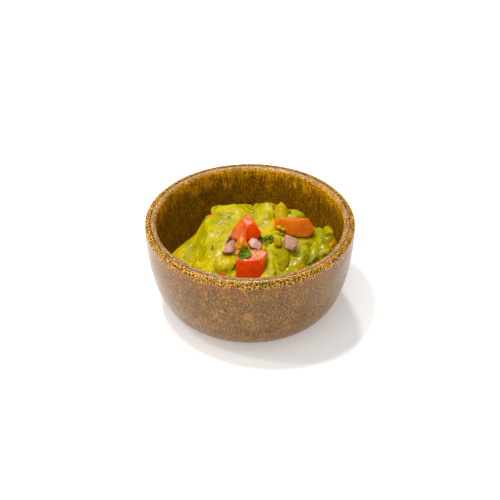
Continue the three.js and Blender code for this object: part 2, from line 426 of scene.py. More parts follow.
def glaze_material(settings):
    """Stoneware with a reactive glaze, dipped and fired: it pools brown on the walls, breaks to gold
    speckled with dark where it thins at the lip, and runs down in streaks. Glossy over a faint ripple."""
    material, tree, shader, place = new_material(
        "Reactive_glaze_on_stoneware", {"IOR": 1.5, "Specular IOR Level": 0.33}
    )
    run = add(tree, "ShaderNodeAttribute", attribute_name="run").outputs["Fac"]
    grains = {}
    for name, (width, length, detail, offset) in GLAZE_GRAINS.items():
        mapped = add(
            tree,
            "ShaderNodeMapping",
            {"Vector": place, "Location": (offset,) * 3, "Scale": (1 / width, 1 / width, 1 / length)},
        ).outputs[0]
        grains[name] = add(
            tree, "ShaderNodeTexNoise", {"Vector": mapped, "Scale": 1.0, "Detail": detail, "Roughness": 0.6}
        ).outputs["Fac"]

    # Each zone's colours, darkest grains first
    zones = {
        "wall": ("grit", [(0.35, 0.1), (0.43, 0.7), (0.52, 1.0), (0.60, 1.5), (0.66, 3.0)]),
        "fade": ("grit", [(0.34, 0.35), (0.45, 0.8), (0.56, 1.0), (0.68, 1.6)]),
        "gold": ("specks", [(0.40, 0.01), (0.46, 0.12), (0.50, 0.6), (0.57, 1.15), (0.66, 2.2)]),
        "lip": ("grit", [(0.36, 0.15), (0.45, 0.7), (0.55, 1.1), (0.66, 2.0)]),
        "inside": ("grit", [(0.34, 0.2), (0.44, 0.75), (0.54, 1.1), (0.66, 2.6)]),
        "orange": ("specks", [(0.38, 0.15), (0.45, 0.7), (0.51, 1.4), (0.62, 2.2)]),
    }
    paints = {}
    for name, (grain, stops) in zones.items():
        shades = [(where, shade(getattr(settings, name), factor)) for where, factor in stops]
        paints[name] = add(tree, "ShaderNodeValToRGB", {"Fac": grains[grain]}, stops=shades).outputs[0]
    iron = add(tree, "ShaderNodeRGB")
    iron.outputs[0].default_value = (*settings.iron, 1.0)

    # The distance along the section from the middle of the lip, made uneven by the streaks and runs
    uneven = run
    shifts = {}
    for grain, reach in (("streaks", 20.0), ("runs", 7.0), ("breaks", 12.0)):
        shifts[grain] = add(
            tree, "ShaderNodeMath", {0: grains[grain], 1: reach, 2: -reach / 2}, operation="MULTIPLY_ADD"
        ).outputs[0]
        uneven = add(tree, "ShaderNodeMath", {0: uneven, 1: shifts[grain]}, operation="ADD").outputs[0]
    ragged, close = [
        add(
            tree, "ShaderNodeMath", {0: shifts["runs"], 1: share, 2: run}, operation="MULTIPLY_ADD"
        ).outputs[0]
        for share in (0.55, 0.12)
    ]
    band = settings.gold_band / MM
    drip = settings.drips / MM
    deep = settings.orange_runs / MM
    masks = {}
    for name, source, low, high in (
        ("fade", uneven, drip, drip * 0.3),
        ("gold", ragged, band + 1.0, band + 0.2),
        ("lip", close, 0.2, -0.3),
        ("inside", close, -2.5, -2.9),
        ("runs", uneven, -deep * 1.3, -deep * 0.4),
    ):
        masks[name] = add(
            tree, "ShaderNodeMapRange", {"Value": source, "From Min": low, "From Max": high}
        ).outputs["Result"]
    on_line = add(
        tree, "ShaderNodeMath", {0: close, 1: LINE_FROM_LIP, 2: LINE_HALF_WIDTH}, operation="COMPARE"
    ).outputs[0]
    unbroken = add(
        tree, "ShaderNodeMapRange", {"Value": grains["streaks"], "From Min": 0.40, "From Max": 0.50}
    ).outputs["Result"]
    for name, first, second in (("line", on_line, unbroken), ("runs", masks["runs"], masks["inside"])):
        masks[name] = add(tree, "ShaderNodeMath", {0: first, 1: second}, operation="MULTIPLY").outputs[0]

    colour = paints["wall"]
    for mask, paint in (
        ("fade", paints["fade"]),
        ("gold", paints["gold"]),
        ("lip", paints["lip"]),
        ("line", iron.outputs[0]),
        ("inside", paints["inside"]),
        ("runs", paints["orange"]),
    ):
        colour = add(
            tree, "ShaderNodeMix", {"Factor": masks[mask], 6: colour, 7: paint}, data_type="RGBA"
        ).outputs[2]
    for grain, darkest in (("mottle", 0.76), ("streaks", 0.82)):
        stops = [(0.36, (darkest,) * 3), (0.6, (1.04,) * 3)]
        clouds = add(tree, "ShaderNodeValToRGB", {"Fac": grains[grain]}, stops=stops).outputs[0]
        colour = add(
            tree,
            "ShaderNodeMix",
            {"Factor": 1.0, 6: colour, 7: clouds},
            data_type="RGBA",
            blend_type="MULTIPLY",
        ).outputs[2]

    # One round iron spot on the front
    from_spot = add(
        tree, "ShaderNodeVectorMath", {0: place, 1: SPOT_PLACE}, operation="DISTANCE"
    ).outputs["Value"]
    spot = add(
        tree,
        "ShaderNodeMapRange",
        {
            "Value": from_spot,
            "From Min": SPOT_RADIUS + SPOT_EDGE,
            "From Max": SPOT_RADIUS,
            "To Max": SPOT_STRENGTH,
        },
    ).outputs["Result"]
    colour = add(
        tree, "ShaderNodeMix", {"Factor": spot, 6: colour, 7: (*settings.spot, 1.0)}, data_type="RGBA"
    ).outputs[2]

    height = add(tree, "ShaderNodeMath", {0: grains["runs"], 1: grains["specks"]}, operation="ADD").outputs[0]
    ripple = add(tree, "ShaderNodeBump", {"Strength": 0.45, "Distance": 0.25 * MM, "Height": height})
    gloss = add(
        tree,
        "ShaderNodeMapRange",
        {"Value": grains["mottle"], "From Min": 0.3, "From Max": 0.7, "To Min": 0.16, "To Max": 0.3},
    ).outputs["Result"]
    tree.links.new(colour, shader.inputs["Base Color"])
    tree.links.new(gloss, shader.inputs["Roughness"])
    tree.links.new(ripple.outputs[0], shader.inputs["Normal"])
    return material


# ---- Guacamole --------------------------------------------------------------------------------

# The heap's block and its skin
HEAP_BASE_Z = 9
HEAP_LOWEST_Z = 12
WALL_OVERLAP = 0.35
GRID = 130
MASH_VOXEL = 0.6
LUMP_SINK = 0.45
BLEND_PASSES = 3

# The spoon's work: heights and widths of the folds, which are lower at the left, and heights of the smears at
# the left and the ridges elsewhere, which all run one way. The seed sets how the folds wander.
STIR_SEED = 3
SMEAR_ANGLE = 46
FOLD_HEIGHT = 1.7
FOLD_WIDTH = 9.5
SMALL_FOLD_HEIGHT = 0.35
SMALL_FOLD_WIDTH = 4.2
SMEAR_HEIGHT = 0.45
RIDGE_HEIGHT = 0.32
WANDER = 2.2
WANDER_WIDTH = 8

# A dip across the crest
CREST_NOTCH = 4.6
NOTCH_X = 1
NOTCH_WIDTH = 4
NOTCH_LENGTH = 8

# How the mash lies lower round the toppings, and how far round a place its hollows are judged
CLEARING = 3
CLEARING_FROM_Z = 34
TOPPING_PROUD = 1.0
SETTLE_PASSES = 3
HOLLOW_PASSES = 14


def heap_body(bm):
    """A closed round block from deep in the bowl up to the heap, reaching just into the wall."""
    bmesh.ops.create_grid(bm, x_segments=GRID, y_segments=GRID, size=1.0)
    for vert in bm.verts:
        across, back = vert.co.x, vert.co.y
        x = across * math.sqrt(1 - back * back / 2)
        y = back * math.sqrt(1 - across * across / 2)
        z = max(heap_height(x * INNER_RADIUS, y * INNER_RADIUS), HEAP_LOWEST_Z)
        reach = inside_radius(z) + WALL_OVERLAP
        vert.co = Vector((x * reach, y * reach, z)) * MM
    extruded = bmesh.ops.extrude_face_region(bm, geom=bm.faces[:])
    for vert in extruded["geom"]:
        if isinstance(vert, bmesh.types.BMVert):
            radius = math.hypot(vert.co.x, vert.co.y) / MM
            top_reach = inside_radius(vert.co.z / MM) + WALL_OVERLAP
            shrink = (inside_radius(HEAP_BASE_Z) + WALL_OVERLAP) / top_reach if radius > 0 else 1
            vert.co = Vector((vert.co.x * shrink, vert.co.y * shrink, HEAP_BASE_Z * MM))


def add_lump(bm, x, y, lift, half_sizes, turn, tip, square):
    """One rounded lump set in the heap's surface."""
    made = bmesh.ops.create_icosphere(bm, subdivisions=4, radius=1.0)
    power = 1 - 0.5 * square
    seed = Vector((x, y, lift)) * 0.37
    turned = Euler((math.radians(tip), 0, math.radians(turn))).to_matrix()
    centre = Vector((x, y, heap_height(x, y) + lift - LUMP_SINK * half_sizes[2]))
    for vert in made["verts"]:
        place = Vector([math.copysign(abs(c) ** power, c) for c in vert.co])
        place *= 1 + 0.3 * noise.noise(vert.co * 1.3 + seed)
        place = turned @ Vector([c * half for c, half in zip(place, half_sizes)])
        vert.co = (centre + place) * MM


def scattered_lumps(bm, rng):
    """Lumps down the steep back of the heap, and small ones at its front right."""
    made = 0
    while made < REAR_LUMP_COUNT:
        x = rng.uniform(-42, 42)
        y = rng.uniform(12, 44)
        behind = y - crest_at(x) > REAR_FROM_CREST and x > REAR_LEFT_END
        if behind and math.hypot(x, y) < 44 and heap_height(x, y) > REAR_LOWEST_Z:
            size = rng.uniform(3.0, 6.0)
            halves = (size, size * rng.uniform(0.6, 0.9), size * rng.uniform(0.4, 0.6))
            lift = rng.uniform(-0.8, 0.2)
            add_lump(bm, x, y, lift, halves, rng.uniform(0, 180), rng.uniform(-40, 0), 0.2)
            made += 1
    made = 0
    while made < FINE_LUMP_COUNT:
        x = rng.uniform(10, 45)
        y = rng.uniform(-42, 4)
        if math.hypot(x, y) < 45.5:
            size = rng.uniform(2.0, 3.4)
            halves = (size, size * rng.uniform(0.6, 1), size * rng.uniform(0.5, 0.8))
            lift = rng.uniform(0.2, 0.9)
            add_lump(bm, x, y, lift, halves, rng.uniform(0, 180), rng.uniform(-20, 30), 0.3)
            made += 1


def step(value, low, high):
    """0 below low and 1 above high, smooth between."""
    part = min(max((value - low) / (high - low), 0), 1)
    return part * part * (3 - 2 * part)


def fold(place, width):
    """Soft rounded folds about that wide, with a crease between each and the next: 0 to 1."""
    wave = noise.noise(place / width)
    return min(2 * math.sqrt(wave * wave + 0.003), 1)


def stirred(place):
    """How far the spoon's folds and smears push the mash out, in millimetres."""
    x, y, z = place
    angle = math.radians(SMEAR_ANGLE)
    along = x * math.cos(angle) + y * math.sin(angle)
    over = -x * math.sin(angle) + y * math.cos(angle)
    wandered = place + noise.noise_vector(place / WANDER_WIDTH) * WANDER
    left = step(-x, 8, 20)
    from_crest = abs(y - crest_at(x))
    calm = min(0.3 + from_crest / 12, 1)
    smear = noise.noise(Vector((along / 14, over / 1.9, z / 9)))
    ridge = noise.noise(Vector((along / 8, over / 2.2, z / 7 + 5)))
    push = FOLD_HEIGHT * (1 - 0.75 * left) * (fold(wandered, FOLD_WIDTH) - 0.5)
    push += SMALL_FOLD_HEIGHT * (1 - 0.6 * left) * (fold(wandered, SMALL_FOLD_WIDTH) - 0.5)
    push += SMEAR_HEIGHT * left * smear + RIDGE_HEIGHT * (1 - left) * ridge
    from_notch = ((x - NOTCH_X) / NOTCH_WIDTH) ** 2 + (from_crest / NOTCH_LENGTH) ** 2
    return calm * push - CREST_NOTCH * math.exp(-from_notch)


def near_topping(x, y, footprints, reach):
    """1 over a topping's footprint, falling to 0 at that distance from it in millimetres."""
    nearest = reach
    for low_x, low_y, high_x, high_y in footprints:
        dx = max(low_x - x, x - high_x, 0)
        dy = max(low_y - y, y - high_y, 0)
        nearest = min(nearest, math.hypot(dx, dy))
    return 1 - nearest / reach


def mash_mesh(settings):
    """The whole surface of the mash as one skin. The attribute hollow is how deep a place lies below
    the ground round it, in millimetres."""
    bm = bmesh.new()
    heap_body(bm)
    for x, y, lift, across, back, up, turn, tip, square in LUMPS:
        add_lump(bm, x, y, lift, (across, back, up), turn, tip, square)
    scattered_lumps(bm, random.Random(11))
    bm = welded(bm, MASH_VOXEL * MM)
    smoothed(bm, BLEND_PASSES)
    bm.normal_update()
    noise.seed_set(STIR_SEED)
    moves = [vert.normal * stirred(vert.co / MM) * settings.stirring * MM for vert in bm.verts]
    for vert, move in zip(bm.verts, moves):
        vert.co += move
    footprints = []
    for name in TIPS:
        low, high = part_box(name)
        footprints.append((low.x / MM, low.y / MM, high.x / MM, high.y / MM))
    toppings = ground([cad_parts[name].data for name in TIPS])
    settled = []
    for vert in bm.verts:
        x, y, z = vert.co / MM
        cover = near_topping(x, y, footprints, CLEARING)
        if cover > 0 and z > CLEARING_FROM_Z:
            settled.append(vert)
            z = min(z, z + (heap_height(x, y) - z) * cover)
            top = landing(toppings, x, y)
            if top:
                z = min(z, top[0].z - TOPPING_PROUD)
            vert.co.z = z * MM
    smoothed(bm, SETTLE_PASSES, verts=settled)
    for vert in bm.verts:
        radius = math.hypot(vert.co.x, vert.co.y) / MM
        limit = inside_radius(vert.co.z / MM) + WALL_OVERLAP
        if radius > limit:
            vert.co.x *= limit / radius
            vert.co.y *= limit / radius
    smoothed(bm, 1)
    hollow = bm.verts.layers.float.new("hollow")
    relaxed = bm.copy()
    smoothed(relaxed, HOLLOW_PASSES)
    bm.normal_update()
    for vert, soft in zip(bm.verts, relaxed.verts):
        vert[hollow] = (soft.co - vert.co).dot(vert.normal) / MM
    relaxed.free()
    return bm


def mash_material(settings):
    """Mashed ripe avocado, stirred with a spoon: smooth, oily and faintly translucent, yellow on its folds,
    with painted shade in its hollows and painted shade darker and greener towards the right. It gives small
    sharp wet glints over a saturated body."""
    finish = {
        "Roughness": 0.08,
        "IOR": 1.42,
        "Specular IOR Level": 0.6,
        "Subsurface Weight": 0.08,
        "Subsurface Radius": (1.0, 0.8, 0.1),
        "Subsurface Scale": 1.0 * MM,
    }
    material, tree, shader, place = new_material("Mashed_avocado", finish)
    patches = {}
    for name, size, detail, offset in (
        ("broad", 9.0, 3.0, 0.0),
        ("small", 1.6, 2.0, 20.0),
        ("stains", 6.0, 2.0, 70.0),
    ):
        moved = add(tree, "ShaderNodeMapping", {"Vector": place, "Location": (offset,) * 3}).outputs[0]
        patches[name] = add(
            tree, "ShaderNodeTexNoise", {"Vector": moved, "Scale": 1 / size, "Detail": detail}
        ).outputs["Fac"]
    smeared = add(
        tree,
        "ShaderNodeMapping",
        {"Vector": place, "Rotation": (0, 0, math.radians(SMEAR_ANGLE)), "Scale": (3.4, 1.7, 1.7)},
        vector_type="TEXTURE",
    ).outputs[0]
    pits = add(tree, "ShaderNodeTexNoise", {"Vector": smeared, "Scale": 1.0, "Detail": 1.5}).outputs["Fac"]
    # Painted shade: the mash's ripeness falls towards the right, so it turns darker and greener there
    across = add(tree, "ShaderNodeSeparateXYZ", {0: place}).outputs["X"]
    lean = add(
        tree, "ShaderNodeMapRange", {"Value": across, "From Min": 8.0, "From Max": 34.0, "To Max": -0.17}
    ).outputs["Result"]
    ripeness_and_right_shade = add(tree, "ShaderNodeMath", {0: patches["broad"], 1: lean}, operation="ADD").outputs[0]
    broad = add(
        tree,
        "ShaderNodeValToRGB",
        {"Fac": ripeness_and_right_shade},
        stops=[(0.34, settings.mash_green), (0.50, settings.mash), (0.68, settings.mash_ripe)],
    ).outputs[0]
    hollow = add(tree, "ShaderNodeAttribute", attribute_name="hollow").outputs["Fac"]

    # Juice on the stains, painted shade in the hollows, and a bump that fades out between the wet patches
    masks = {}
    for name, source, low, high, least, most in (
        ("stain", patches["stains"], 0.6, 0.7, 0.0, 0.5),
        # Painted shade: the mash is darkened towards dark olive where the attribute hollow says it lies in a
        # crease
        ("deep", hollow, 0.05, 0.4, 0.0, 0.8),
        ("wet", patches["stains"], 0.42, 0.58, 0.16, 1.0),
    ):
        masks[name] = add(
            tree,
            "ShaderNodeMapRange",
            {"Value": source, "From Min": low, "From Max": high, "To Min": least, "To Max": most},
        ).outputs["Result"]
    stained = add(
        tree,
        "ShaderNodeMix",
        {"Factor": masks["stain"], 6: broad, 7: (*settings.juice, 1.0)},
        data_type="RGBA",
    ).outputs[2]
    stops = [(0.34, (0.9,) * 3), (0.52, (1.0,) * 3)]
    small = add(tree, "ShaderNodeValToRGB", {"Fac": patches["small"]}, stops=stops).outputs[0]
    colour = add(
        tree, "ShaderNodeMix", {"Factor": 1.0, 6: stained, 7: small}, data_type="RGBA", blend_type="MULTIPLY"
    ).outputs[2]
    colour = add(
        tree,
        "ShaderNodeMix",
        {"Factor": masks["deep"], 6: colour, 7: (*settings.mash_hollow_shade, 1.0)},
        data_type="RGBA",
    ).outputs[2]
    relief = add(tree, "ShaderNodeMath", {0: pits, 1: masks["wet"]}, operation="MULTIPLY").outputs[0]
    dimples = add(tree, "ShaderNodeBump", {"Strength": 1.0, "Distance": 1.0 * MM, "Height": relief})
    tree.links.new(colour, shader.inputs["Base Color"])
    tree.links.new(dimples.outputs[0], shader.inputs["Normal"])
    return material


def lying_on(normal, heading):
    """The turn that stands a thing's Z on a slope and heads its X that many degrees round from across."""
    up = Vector(normal).normalized()
    ahead = Matrix.Rotation(math.radians(heading), 3, "Z") @ Vector((1, 0, 0))
    ahead = (ahead - up * ahead.dot(up)).normalized()
    return Matrix((ahead, up.cross(ahead), up)).transposed()


# ---- Cut toppings -------------------------------------------------------------------------------

# Each cut piece's tip towards the front, in degrees, as in the CAD model
TIPS = {
    "tomato_left": 35,
    "tomato_front": 10,
    "tomato_sliver": 35,
    "tomato_right": 58,
    "onion_left": 35,
    "onion_middle": 35,
    "onion_right": 45,
    "avocado_back": 42,
    "avocado_front": 38,
    "avocado_dice": 35,
}

# Flat cuts on a piece, in its own frame: a point on the cut across and up from the middle, how far below
# the top of the piece it lies, the way the cut falls away in degrees anticlockwise from across, and its slope
CUTS = {
    "tomato_left": [(0.4, 0.8, 0.2, 168, 27), (0.4, 0.8, 0.2, 97, 22)],
    "tomato_sliver": [(-0.9, 0, 0.2, 180, 38)],
    "tomato_right": [(0.6, 0, 0.2, -6, 9), (0, 3.2, 0.2, 90, 34), (-5, 0, 0.3, 180, 12)],
    "onion_left": [(1.6, 0, 0.1, 0, 30)],
    "onion_middle": [(-1, 0, 0.1, 150, 16)],
    "onion_right": [(-1.9, 0, 0.1, 180, 48), (0, -2.6, 0.1, -90, 25)],
    "avocado_back": [(1.4, 0, 0.1, 5, 30), (-3.2, 0, 0.1, 175, 16)],
    "avocado_front": [(1.6, 0, 0.1, 0, 35)],
}


def sliced(bm, name, middle, flat):
    """Cuts the piece's flat facets."""
    top = max((flat @ (vert.co - middle)).z for vert in bm.verts)
    for across, up, below, way, slope in CUTS.get(name, []):
        way, slope = math.radians(way), math.radians(slope)
        outward = math.sin(slope)
        normal = Vector((math.cos(way) * outward, math.sin(way) * outward, math.cos(slope)))
        point = Vector((across * MM, up * MM, top - below * MM))
        bmesh.ops.bisect_plane(
            bm,
            geom=bm.verts[:] + bm.edges[:] + bm.faces[:],
            dist=1e-6,
            plane_co=flat.inverted() @ point + middle,
            plane_no=flat.inverted() @ normal,
            clear_outer=True,
        )
        bmesh.ops.holes_fill(bm, edges=[e for e in bm.edges if e.is_boundary])


def cut_piece(name, edge, voxel, passes, *layers):
    """A CAD topping's own shape with its facets cut, softened edges and an uneven surface.

    The attribute own holds each vertex's place in millimetres from the middle of the piece,
    square on to its upper face."""
    bm = bmesh.new()
    bm.from_mesh(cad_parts[name].data)
    bmesh.ops.remove_doubles(bm, verts=bm.verts[:], dist=1e-5)
    bmesh.ops.dissolve_limit(bm, angle_limit=math.radians(2), verts=bm.verts[:], edges=bm.edges[:])
    low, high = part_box(name)
    middle = (low + high) / 2
    flat = Matrix.Rotation(math.radians(-TIPS[name]), 3, "X")
    sliced(bm, name, middle, flat)
    sharp = [e for e in bm.edges if e.is_manifold and e.calc_face_angle(0) > math.radians(12)]
    bmesh.ops.bevel(
        bm,
        geom=sharp,
        offset=edge * MM,
        offset_type="OFFSET",
        affect="EDGES",
        segments=3,
        profile=0.5,
        material=-1,
        clamp_overlap=True,
    )
    bm = welded(bm, voxel * MM)
    smoothed(bm, passes)
    roughened(bm, *layers)
    own = bm.verts.layers.float_vector.new("own")
    for vert in bm.verts:
        vert[own] = flat @ (vert.co - middle) / MM
    return bm


def food_material(name, finish, attribute, grain, detail, stops, marked_stops, relief=None):
    """A food's material: two ramps over the same clouds, mixed by an attribute, over a slight bump.

    A grain is in millimetres. The relief is the bump's strength and height, and its grain and detail."""
    material, tree, shader, place = new_material(name, finish)
    clouds = add(
        tree, "ShaderNodeTexNoise", {"Vector": place, "Scale": 1 / grain, "Detail": detail}
    ).outputs["Fac"]
    plain = add(tree, "ShaderNodeValToRGB", {"Fac": clouds}, stops=stops).outputs[0]
    marked = add(tree, "ShaderNodeValToRGB", {"Fac": clouds}, stops=marked_stops).outputs[0]
    share = add(tree, "ShaderNodeAttribute", attribute_name=attribute).outputs["Fac"]
    colour = add(tree, "ShaderNodeMix", {"Factor": share, 6: plain, 7: marked}, data_type="RGBA").outputs[2]
    tree.links.new(colour, shader.inputs["Base Color"])
    if relief:
        strength, height, fine_grain, fine_detail = relief
        fine = add(
            tree, "ShaderNodeTexNoise", {"Vector": place, "Scale": 1 / fine_grain, "Detail": fine_detail}
        ).outputs["Fac"]
        bump = add(
            tree, "ShaderNodeBump", {"Strength": strength, "Distance": height * MM, "Height": fine}
        ).outputs[0]
        tree.links.new(bump, shader.inputs["Normal"])
    return material


def tomato_material(settings):
    """Ripe plum tomato, diced: tight shiny skin over juicy flesh, orange where it is cut and red where it
    is wet or has its skin. The attribute flesh says which."""
    finish = {
        "Roughness": 0.12,
        "IOR": 1.42,
        "Specular IOR Level": 0.2,
        "Subsurface Weight": 0.12,
        "Subsurface Radius": (1.0, 0.25, 0.1),
        "Subsurface Scale": 1.2 * MM,
    }
    skin = [(0.35, shade(settings.tomato_skin, 0.85)), (0.65, shade(settings.tomato_skin, 1.2))]
    base = settings.tomato_flesh
    flesh = [(0.33, shade(base, 0.8)), (0.52, base), (0.68, settings.tomato_pale)]
    return food_material("Diced_tomato", finish, "flesh", 2.4, 4.0, skin, flesh, (0.4, 0.3, 0.8, 2.0))


def onion_material(settings):
    """Diced red onion: crisp translucent flesh, pale pink, and a purple skin edge where the attribute rind
    says."""
    finish = {
        "Roughness": 0.32,
        "IOR": 1.4,
        "Subsurface Weight": 0.25,
        "Subsurface Radius": (1.0, 0.6, 0.5),
        "Subsurface Scale": 1.2 * MM,
    }
    base = settings.onion_flesh
    flesh = [(0.34, settings.onion_pink), (0.5, base), (0.66, shade(base, 1.12))]
    rind = [(0.0, settings.onion_rind), (1.0, settings.onion_rind)]
    return food_material("Diced_red_onion", finish, "rind", 1.6, 3.0, flesh, rind, (0.2, 0.15, 1.6, 3.0))


def avocado_material(settings):
    """Ripe avocado, diced: buttery smooth flesh, yellow at its core and green under the skin, given by
    the attribute green, which on the back piece also lays painted shade on its right facet."""
    finish = {
        "Roughness": 0.34,
        "IOR": 1.45,
        "Specular IOR Level": 0.15,
        "Subsurface Weight": 0.12,
        "Subsurface Radius": (1.0, 0.8, 0.1),
        "Subsurface Scale": 1.0 * MM,
    }
    core, edge = [
        [(0.35, shade(base, 0.8)), (0.65, shade(base, 1.15))]
        for base in (settings.avocado_core, settings.avocado_edge_and_shade)
    ]
    return food_material("Diced_avocado", finish, "green", 2.4, 3.0, core, edge, (0.25, 0.2, 2.4, 3.0))


def painted(bm, name, share):
    """Fills a vertex attribute from a function of each vertex's place across and up its piece."""
    own = bm.verts.layers.float_vector["own"]
    layer = bm.verts.layers.float.new(name)
    for vert in bm.verts:
        vert[layer] = min(max(share(vert[own].x, vert[own].y), 0), 1)


def front_tomato_flesh(x, y):
    """The front tomato's cut top, whose lower edge peaks a little left of the middle."""
    edge = 0.41 * max(-0.5 - x, 0) + 0.84 * max(x + 0.5, 0)
    return 0.55 * step(y + edge, 2.7, 3.3)


# How much cut flesh shows at each place on a tomato piece, rather than red skin: across and up in millimetres
FLESH = {
    "tomato_left": lambda x, y: 0.6 - 0.6 * step(x + 0.25 * y, -1.6, -0.6) * step(1.4 - y, -0.4, 0.4),
    "tomato_front": front_tomato_flesh,
    "tomato_sliver": lambda x, y: 0.8,
    "tomato_right": lambda x, y: 0.95 + 0.4 * step(y, 2.4, 3.4) + 0.3 * step(x, -1, 3),
}

# How much purple skin shows on an onion piece
RIND = {
    "onion_left": lambda x, y: max(step(y - 0.9 * x, 0.6, 1.1), 0.8 * step(-y, 4.0, 4.5)),
    "onion_middle": lambda x, y: 0.14 + 0.65 * step(x, 2.9, 3.6),
    "onion_right": lambda x, y: 0.6 * step(-x, 2.4, 3.2),
}

# How green a piece of avocado is; on the back piece the green right facet is painted shade
GREEN_AND_SHADE = {
    # Painted shade: the back piece's right facet takes the darker green edge colour
    "avocado_back": lambda x, y: step(x, 1.2, 2.2),
    "avocado_front": lambda x, y: 0.9,
    "avocado_dice": lambda x, y: 0.45,
}

# Bits half sunk in the mash: across, back, lift, half sizes, turn in degrees
TOMATO_BITS = [
    (-20.5, 9.8, -0.2, 3.6, 0.7, 0.5, 30),
    (-14.4, -36.4, -0.4, 1.8, 1.0, 0.7, -25),
    (42.4, -9.2, -0.2, 0.9, 1.9, 0.8, -30),
]
ONION_BITS = [
    (6.4, -15.0, 0.3, 1.7, 0.8, 0.6, 35),
    (-24.0, 22.0, 0.2, 2.2, 1.6, 1.0, 60),
    (12.0, 26.0, 0.2, 2.4, 1.8, 1.0, 10),
]


def sunk_bits(places):
    """Small cut bits with softened corners, each lying in the surface of the mash."""
    tree = ground([bpy.data.objects["Guacamole_mash"].data])
    bm = bmesh.new()
    for x, y, lift, across, back, up, turn in places:
        part = bmesh.new()
        bmesh.ops.create_cube(part, size=2.0)
        bmesh.ops.bevel(
            part, geom=part.edges[:], offset=0.5, affect="EDGES", segments=3, profile=0.5, material=-1
        )
        bmesh.ops.subdivide_edges(part, edges=part.edges[:], cuts=1, use_grid_fill=True)
        place, normal = landing(tree, x, y)
        lying = lying_on(normal, turn)
        for vert in part.verts:
            uneven = vert.co * (1 + 0.3 * noise.noise(vert.co + place))
            sized = Vector((uneven.x * across, uneven.y * back, uneven.z * up + lift))
            vert.co = (lying @ sized + place) * MM
        joined(bm, part)
    bmesh.ops.recalc_face_normals(bm, faces=bm.faces[:])
    return bm


# ---- Cilantro -----------------------------------------------------------------------------------

LEAF_GRID = 12
LEAF_LOBES = 0.3
LEAF_THICKNESS = 0.25
FLECK_GRID = 4
FLECK_COUNT = 46
STEM_SIDES = 10


def add_leaf(bm, at, normal, heading, length, width, lobes, curl, grid=LEAF_GRID):
    """One leaf blade with a lobed edge, folded along its midrib and curled along its length."""
    part = bmesh.new()
    bmesh.ops.create_grid(part, x_segments=grid, y_segments=grid, size=1.0)
    for vert in part.verts:
        along, over = vert.co.x, vert.co.y
        x = along * math.sqrt(1 - over * over / 2)
        y = over * math.sqrt(1 - along * along / 2)
        radius = math.hypot(x, y)
        lobe = 1 - LEAF_LOBES * radius * radius * (0.5 + 0.5 * math.cos(lobes * math.atan2(y, x)))
        x *= lobe * length / 2
        y *= lobe * width / 2
        fold_up = 0.25 * abs(y) + 0.3 * noise.noise(Vector((x, y, length)) * 0.6)
        vert.co = Vector((x, y, fold_up - curl * x * x / length))
    bmesh.ops.solidify(part, geom=part.faces[:], thickness=LEAF_THICKNESS)
    turned = lying_on(normal, heading)
    for vert in part.verts:
        vert.co = (turned @ vert.co + Vector(at)) * MM
    bmesh.ops.recalc_face_normals(part, faces=part.faces[:])
    joined(bm, part)


def joined(bm, part):
    """Adds one bmesh to another."""
    mesh = bpy.data.meshes.new("part")
    part.to_mesh(mesh)
    part.free()
    bm.from_mesh(mesh)
    bpy.data.meshes.remove(mesh)


def add_stem(bm, points, radius):
    """A round stem through those points, in millimetres, with closed ends."""
    part = bmesh.new()
    places = [Vector(p) for p in points]
    ahead = (places[1] - places[0]).normalized()
    turned = ahead.to_track_quat("Z", "Y").to_matrix().to_4x4()
    standing = Matrix.Translation(places[0]) @ turned
    bmesh.ops.create_circle(part, cap_ends=True, segments=STEM_SIDES, radius=radius, matrix=standing)
    face = part.faces[:][0]
    for start, end in zip(places, places[1:]):
        extruded = bmesh.ops.extrude_face_region(part, geom=[face])
        if start != places[0]:
            bmesh.ops.delete(part, geom=[face], context="FACES_ONLY")
        face = [f for f in extruded["geom"] if isinstance(f, bmesh.types.BMFace)][0]
        bmesh.ops.translate(part, verts=face.verts[:], vec=end - start)
    for vert in part.verts:
        vert.co *= MM
    bmesh.ops.recalc_face_normals(part, faces=part.faces[:])
    joined(bm, part)


def cilantro_material(settings):
    """Fresh cilantro, chopped: thin dark green leaves and paler juicy stems, satin with a faint wet glint.
    The attribute pale is 1 on a stem."""
    finish = {"Roughness": 0.3, "IOR": 1.42, "Specular IOR Level": 0.1}
    leaf, stem = [
        [(0.35, shade(base, 0.6)), (0.65, shade(base, 2.2))] for base in (settings.leaf, settings.stem)
    ]
    return food_material("Chopped_cilantro", finish, "pale", 1.2, 3.0, leaf, stem)


def toned(bm, name, value):
    """Gives every vertex the same value of an attribute."""
    layer = bm.verts.layers.float.new(name)
    for vert in bm.verts:
        vert[layer] = value


# Larger leaves: across, back, lift above what they lie on, lean towards the front from 0 to 1, heading in
# degrees, length, width, lobes and curl
LEAVES = [
    (-3.0, -29.2, 0.6, 0.4, 40, 9.0, 7.2, 3, 0.2),
    (-3.9, -31.2, 0.3, 0.5, 14, 6.6, 3.6, 2, 0.3),
    (7.0, -13.0, 0.9, 0.5, 20, 3.6, 2.4, 3, 0.9),
    (9.2, -12.2, 1.3, 0.3, -30, 3.8, 2.6, 4, 0.8),
    (11.0, -11.4, 1.0, 0.6, 70, 3.4, 2.2, 3, 1.0),
    (10.2, -14.4, 0.8, 0.7, -60, 3.6, 2.0, 3, 0.9),
    (8.0, -15.4, 0.5, 0.4, 40, 3.0, 2.0, 4, 0.7),
    (11.8, -13.4, 0.6, 0.5, 100, 2.8, 1.8, 3, 0.8),
    (5.6, -11.6, 0.6, 0.4, 150, 2.8, 1.6, 3, 0.7),
    (30.6, -25.4, 0.5, 0.9, 52, 5.4, 2.2, 2, 0.2),
    (-7.6, -33.6, 0.5, 0.6, 88, 8.5, 1.7, 2, 0.1),
    (6.8, -22.6, 1.2, 0.4, 18, 5.6, 1.7, 2, 0.3),
]

